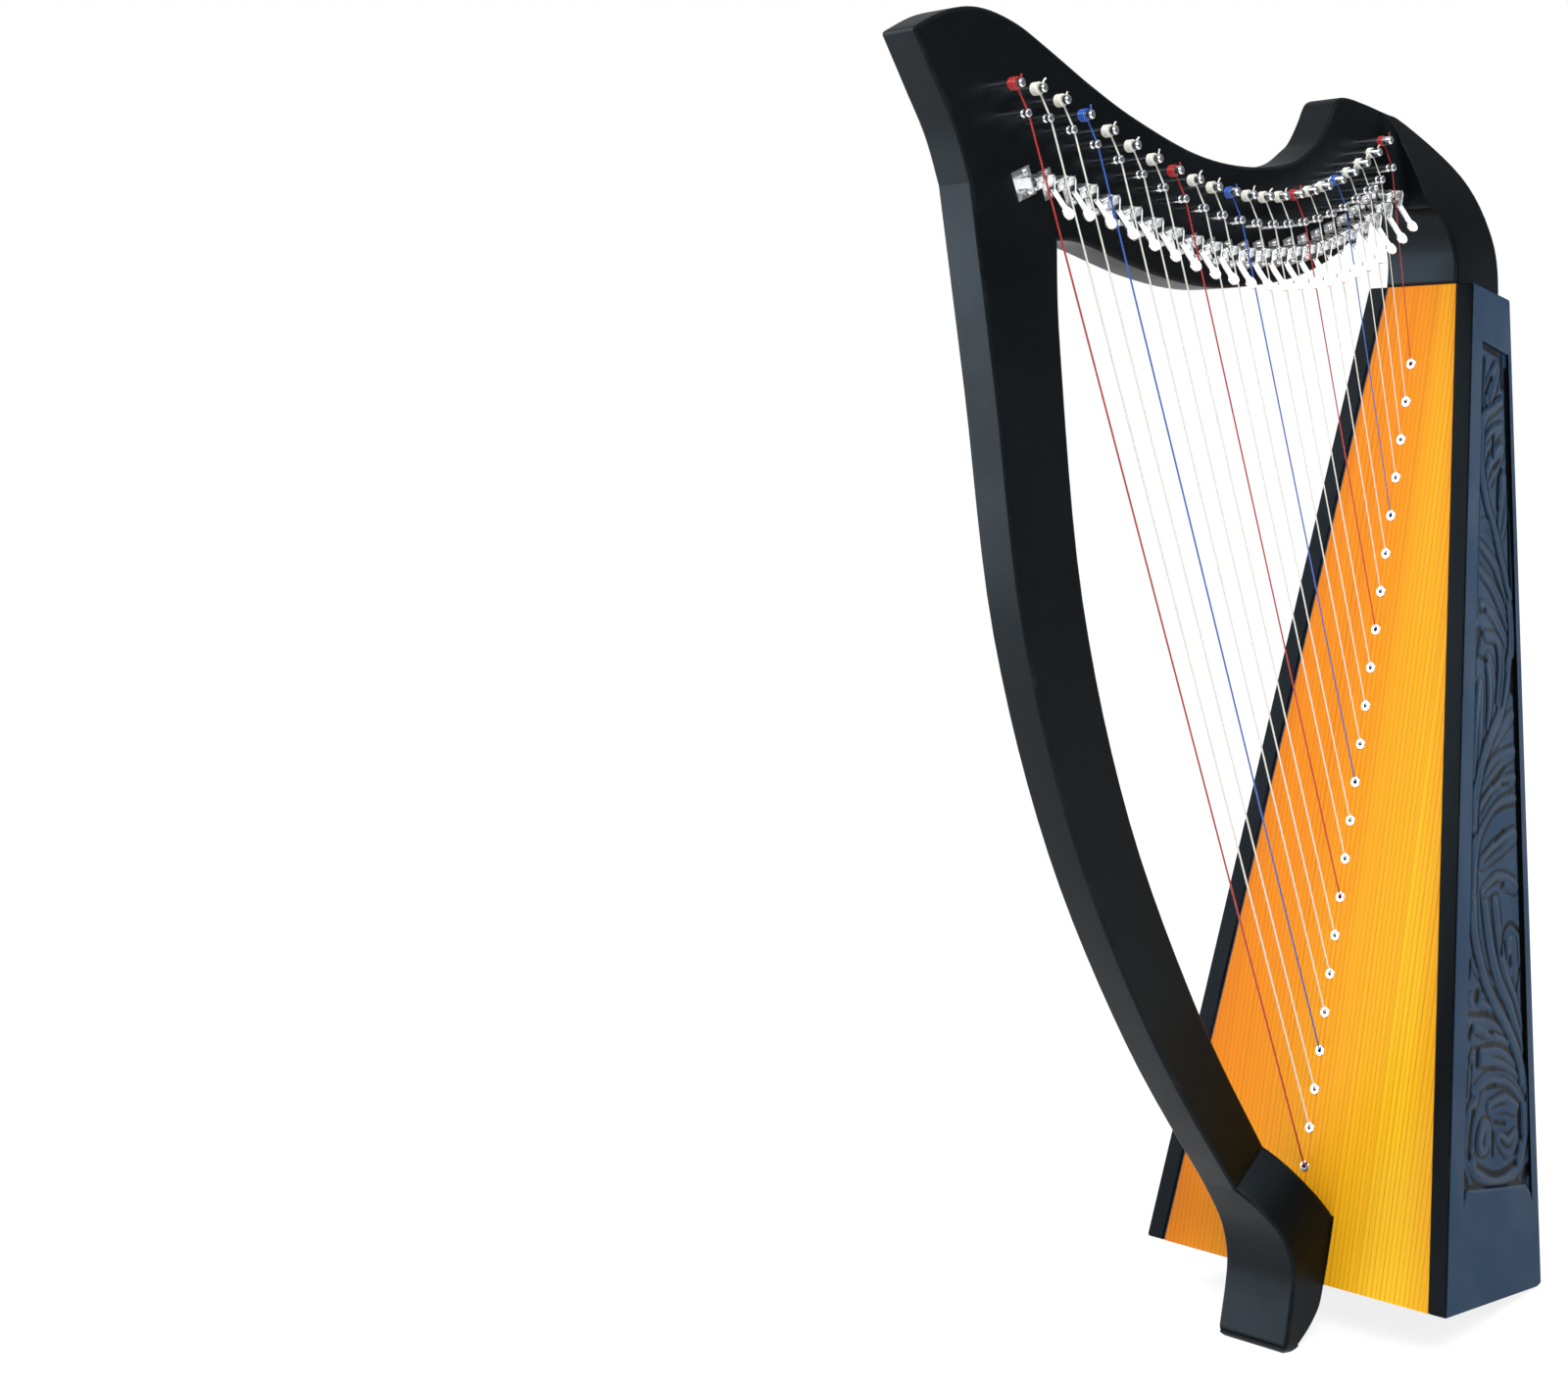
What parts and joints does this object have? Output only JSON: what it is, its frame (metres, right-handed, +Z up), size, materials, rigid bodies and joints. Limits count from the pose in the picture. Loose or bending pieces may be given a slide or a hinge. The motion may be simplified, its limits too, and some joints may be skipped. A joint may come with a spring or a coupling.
{
  "type": "lever harp",
  "caption": "Small lever harp with a tapered soundbox, curved neck and bowed pillar; each string has a turning tuning pin, a bridge pin and a sharping lever that flips.",
  "frame": {"origin": "middle of the bounding box's base, on the ground plane", "axes": "+X from the pillar to the player, +Y from the lever side to the plain side, +Z up"},
  "size_m": [0.5006, 0.249, 0.8368],
  "materials": {
    "spruce": "amber-stained spruce, satin varnish",
    "black_wood": "black stained hardwood, satin varnish",
    "carved_panel": "blue-black stained hardwood, relief carved",
    "inner_wood": "plain wood inside the box",
    "nickel": "nickel plated steel",
    "lever_metal": "bright pressed metal",
    "nylon": "clear, red and blue nylon"
  },
  "bodies": {
    "frame": {"soundboard": "spruce", "string_rib": "inner_wood", "left_side_panel": "carved_panel", "right_side_panel": "carved_panel", "back_panel": "black_wood", "base_panel": "inner_wood", "top_block": "inner_wood", "neck": "black_wood", "pillar": "black_wood", "foot": "black_wood", "joint_dowels": "inner_wood", "grommets": "nickel", "bridge_pins": "nickel", "lever_brackets": "lever_metal", "strings": "nylon"},
    "tuning_pin_01": {"tuning_pin_01": "nickel"},
    "tuning_pin_02": {"tuning_pin_02": "nickel"},
    "tuning_pin_03": {"tuning_pin_03": "nickel"},
    "tuning_pin_04": {"tuning_pin_04": "nickel"},
    "tuning_pin_05": {"tuning_pin_05": "nickel"},
    "tuning_pin_06": {"tuning_pin_06": "nickel"},
    "tuning_pin_07": {"tuning_pin_07": "nickel"},
    "tuning_pin_08": {"tuning_pin_08": "nickel"},
    "tuning_pin_09": {"tuning_pin_09": "nickel"},
    "tuning_pin_10": {"tuning_pin_10": "nickel"},
    "tuning_pin_11": {"tuning_pin_11": "nickel"},
    "tuning_pin_12": {"tuning_pin_12": "nickel"},
    "tuning_pin_13": {"tuning_pin_13": "nickel"},
    "tuning_pin_14": {"tuning_pin_14": "nickel"},
    "tuning_pin_15": {"tuning_pin_15": "nickel"},
    "tuning_pin_16": {"tuning_pin_16": "nickel"},
    "tuning_pin_17": {"tuning_pin_17": "nickel"},
    "tuning_pin_18": {"tuning_pin_18": "nickel"},
    "tuning_pin_19": {"tuning_pin_19": "nickel"},
    "tuning_pin_20": {"tuning_pin_20": "nickel"},
    "tuning_pin_21": {"tuning_pin_21": "nickel"},
    "tuning_pin_22": {"tuning_pin_22": "nickel"},
    "lever_01": {"lever_01": "lever_metal"},
    "lever_02": {"lever_02": "lever_metal"},
    "lever_03": {"lever_03": "lever_metal"},
    "lever_04": {"lever_04": "lever_metal"},
    "lever_05": {"lever_05": "lever_metal"},
    "lever_06": {"lever_06": "lever_metal"},
    "lever_07": {"lever_07": "lever_metal"},
    "lever_08": {"lever_08": "lever_metal"},
    "lever_09": {"lever_09": "lever_metal"},
    "lever_10": {"lever_10": "lever_metal"},
    "lever_11": {"lever_11": "lever_metal"},
    "lever_12": {"lever_12": "lever_metal"},
    "lever_13": {"lever_13": "lever_metal"},
    "lever_14": {"lever_14": "lever_metal"},
    "lever_15": {"lever_15": "lever_metal"},
    "lever_16": {"lever_16": "lever_metal"},
    "lever_17": {"lever_17": "lever_metal"},
    "lever_18": {"lever_18": "lever_metal"},
    "lever_19": {"lever_19": "lever_metal"},
    "lever_20": {"lever_20": "lever_metal"},
    "lever_21": {"lever_21": "lever_metal"},
    "lever_22": {"lever_22": "lever_metal"}
  },
  "joints": [
    {"name": "pin_turn_01", "type": "hinge", "parent": "frame", "child": "tuning_pin_01", "pos_m": [-0.192, 0, 0.79212], "axis": [0, 1, 0], "continuous": true},
    {"name": "pin_turn_02", "type": "hinge", "parent": "frame", "child": "tuning_pin_02", "pos_m": [-0.17455, 0, 0.78912], "axis": [0, 1, 0], "continuous": true},
    {"name": "pin_turn_03", "type": "hinge", "parent": "frame", "child": "tuning_pin_03", "pos_m": [-0.15612, 0, 0.78243], "axis": [0, 1, 0], "continuous": true},
    {"name": "pin_turn_04", "type": "hinge", "parent": "frame", "child": "tuning_pin_04", "pos_m": [-0.13733, 0, 0.77388], "axis": [0, 1, 0], "continuous": true},
    {"name": "pin_turn_05", "type": "hinge", "parent": "frame", "child": "tuning_pin_05", "pos_m": [-0.11858, 0, 0.76475], "axis": [0, 1, 0], "continuous": true},
    {"name": "pin_turn_06", "type": "hinge", "parent": "frame", "child": "tuning_pin_06", "pos_m": [-0.10011, 0, 0.75587], "axis": [0, 1, 0], "continuous": true},
    {"name": "pin_turn_07", "type": "hinge", "parent": "frame", "child": "tuning_pin_07", "pos_m": [-0.08208, 0, 0.74774], "axis": [0, 1, 0], "continuous": true},
    {"name": "pin_turn_08", "type": "hinge", "parent": "frame", "child": "tuning_pin_08", "pos_m": [-0.06457, 0, 0.74067], "axis": [0, 1, 0], "continuous": true},
    {"name": "pin_turn_09", "type": "hinge", "parent": "frame", "child": "tuning_pin_09", "pos_m": [-0.0476, 0, 0.73478], "axis": [0, 1, 0], "continuous": true},
    {"name": "pin_turn_10", "type": "hinge", "parent": "frame", "child": "tuning_pin_10", "pos_m": [-0.03117, 0, 0.7301], "axis": [0, 1, 0], "continuous": true},
    {"name": "pin_turn_11", "type": "hinge", "parent": "frame", "child": "tuning_pin_11", "pos_m": [-0.01527, 0, 0.7266], "axis": [0, 1, 0], "continuous": true},
    {"name": "pin_turn_12", "type": "hinge", "parent": "frame", "child": "tuning_pin_12", "pos_m": [0.00014, 0, 0.72425], "axis": [0, 1, 0], "continuous": true},
    {"name": "pin_turn_13", "type": "hinge", "parent": "frame", "child": "tuning_pin_13", "pos_m": [0.01508, 0, 0.72298], "axis": [0, 1, 0], "continuous": true},
    {"name": "pin_turn_14", "type": "hinge", "parent": "frame", "child": "tuning_pin_14", "pos_m": [0.02958, 0, 0.72273], "axis": [0, 1, 0], "continuous": true},
    {"name": "pin_turn_15", "type": "hinge", "parent": "frame", "child": "tuning_pin_15", "pos_m": [0.04366, 0, 0.72347], "axis": [0, 1, 0], "continuous": true},
    {"name": "pin_turn_16", "type": "hinge", "parent": "frame", "child": "tuning_pin_16", "pos_m": [0.05733, 0, 0.72515], "axis": [0, 1, 0], "continuous": true},
    {"name": "pin_turn_17", "type": "hinge", "parent": "frame", "child": "tuning_pin_17", "pos_m": [0.07062, 0, 0.72776], "axis": [0, 1, 0], "continuous": true},
    {"name": "pin_turn_18", "type": "hinge", "parent": "frame", "child": "tuning_pin_18", "pos_m": [0.08353, 0, 0.73128], "axis": [0, 1, 0], "continuous": true},
    {"name": "pin_turn_19", "type": "hinge", "parent": "frame", "child": "tuning_pin_19", "pos_m": [0.09607, 0, 0.73571], "axis": [0, 1, 0], "continuous": true},
    {"name": "pin_turn_20", "type": "hinge", "parent": "frame", "child": "tuning_pin_20", "pos_m": [0.10826, 0, 0.74105], "axis": [0, 1, 0], "continuous": true},
    {"name": "pin_turn_21", "type": "hinge", "parent": "frame", "child": "tuning_pin_21", "pos_m": [0.1201, 0, 0.74731], "axis": [0, 1, 0], "continuous": true},
    {"name": "pin_turn_22", "type": "hinge", "parent": "frame", "child": "tuning_pin_22", "pos_m": [0.13159, 0, 0.75448], "axis": [0, 1, 0], "continuous": true},
    {"name": "lever_flip_01", "type": "hinge", "parent": "frame", "child": "lever_01", "pos_m": [-0.17022, -0.00917, 0.73863], "axis": [-0.9535, 0, -0.3015], "range_deg": [0, 95]},
    {"name": "lever_flip_02", "type": "hinge", "parent": "frame", "child": "lever_02", "pos_m": [-0.15342, -0.00919, 0.73713], "axis": [-0.9544, 0, -0.2987], "range_deg": [0, 95]},
    {"name": "lever_flip_03", "type": "hinge", "parent": "frame", "child": "lever_03", "pos_m": [-0.1357, -0.0092, 0.73213], "axis": [-0.9552, 0, -0.2959], "range_deg": [0, 95]},
    {"name": "lever_flip_04", "type": "hinge", "parent": "frame", "child": "lever_04", "pos_m": [-0.11765, -0.00922, 0.72539], "axis": [-0.9561, 0, -0.2931], "range_deg": [0, 95]},
    {"name": "lever_flip_05", "type": "hinge", "parent": "frame", "child": "lever_05", "pos_m": [-0.09962, -0.00923, 0.7181], "axis": [-0.9569, 0, -0.2903], "range_deg": [0, 95]},
    {"name": "lever_flip_06", "type": "hinge", "parent": "frame", "child": "lever_06", "pos_m": [-0.08187, -0.00924, 0.71105], "axis": [-0.9578, 0, -0.2876], "range_deg": [0, 95]},
    {"name": "lever_flip_07", "type": "hinge", "parent": "frame", "child": "lever_07", "pos_m": [-0.06453, -0.00926, 0.70471], "axis": [-0.9586, 0, -0.2848], "range_deg": [0, 95]},
    {"name": "lever_flip_08", "type": "hinge", "parent": "frame", "child": "lever_08", "pos_m": [-0.04768, -0.00927, 0.69936], "axis": [-0.9594, 0, -0.282], "range_deg": [0, 95]},
    {"name": "lever_flip_09", "type": "hinge", "parent": "frame", "child": "lever_09", "pos_m": [-0.03135, -0.00929, 0.69512], "axis": [-0.9602, 0, -0.2792], "range_deg": [0, 95]},
    {"name": "lever_flip_10", "type": "hinge", "parent": "frame", "child": "lever_10", "pos_m": [-0.01552, -0.0093, 0.69203], "axis": [-0.961, 0, -0.2764], "range_deg": [0, 95]},
    {"name": "lever_flip_11", "type": "hinge", "parent": "frame", "child": "lever_11", "pos_m": [-0.00018, -0.00932, 0.69006], "axis": [-0.9618, 0, -0.2736], "range_deg": [0, 95]},
    {"name": "lever_flip_12", "type": "hinge", "parent": "frame", "child": "lever_12", "pos_m": [0.01468, -0.00933, 0.68917], "axis": [-0.9626, 0, -0.2708], "range_deg": [0, 95]},
    {"name": "lever_flip_13", "type": "hinge", "parent": "frame", "child": "lever_13", "pos_m": [0.0291, -0.00934, 0.6893], "axis": [-0.9634, 0, -0.268], "range_deg": [0, 95]},
    {"name": "lever_flip_14", "type": "hinge", "parent": "frame", "child": "lever_14", "pos_m": [0.04343, -0.00929, 0.68921], "axis": [-0.9642, 0, -0.2652], "range_deg": [0, 95]},
    {"name": "lever_flip_15", "type": "hinge", "parent": "frame", "child": "lever_15", "pos_m": [0.0574, -0.00922, 0.6899], "axis": [-0.965, 0, -0.2624], "range_deg": [0, 95]},
    {"name": "lever_flip_16", "type": "hinge", "parent": "frame", "child": "lever_16", "pos_m": [0.07096, -0.00913, 0.69153], "axis": [-0.9657, 0, -0.2596], "range_deg": [0, 95]},
    {"name": "lever_flip_17", "type": "hinge", "parent": "frame", "child": "lever_17", "pos_m": [0.08413, -0.00903, 0.6941], "axis": [-0.9665, 0, -0.2568], "range_deg": [0, 95]},
    {"name": "lever_flip_18", "type": "hinge", "parent": "frame", "child": "lever_18", "pos_m": [0.09693, -0.0089, 0.69758], "axis": [-0.9672, 0, -0.254], "range_deg": [0, 95]},
    {"name": "lever_flip_19", "type": "hinge", "parent": "frame", "child": "lever_19", "pos_m": [0.10936, -0.00876, 0.70197], "axis": [-0.9679, 0, -0.2511], "range_deg": [0, 95]},
    {"name": "lever_flip_20", "type": "hinge", "parent": "frame", "child": "lever_20", "pos_m": [0.12144, -0.00859, 0.70727], "axis": [-0.9687, 0, -0.2483], "range_deg": [0, 95]},
    {"name": "lever_flip_21", "type": "hinge", "parent": "frame", "child": "lever_21", "pos_m": [0.13317, -0.00838, 0.71348], "axis": [-0.9694, 0, -0.2455], "range_deg": [0, 95]},
    {"name": "lever_flip_22", "type": "hinge", "parent": "frame", "child": "lever_22", "pos_m": [0.14455, -0.00812, 0.72061], "axis": [-0.9701, 0, -0.2427], "range_deg": [0, 95]}
  ]
}
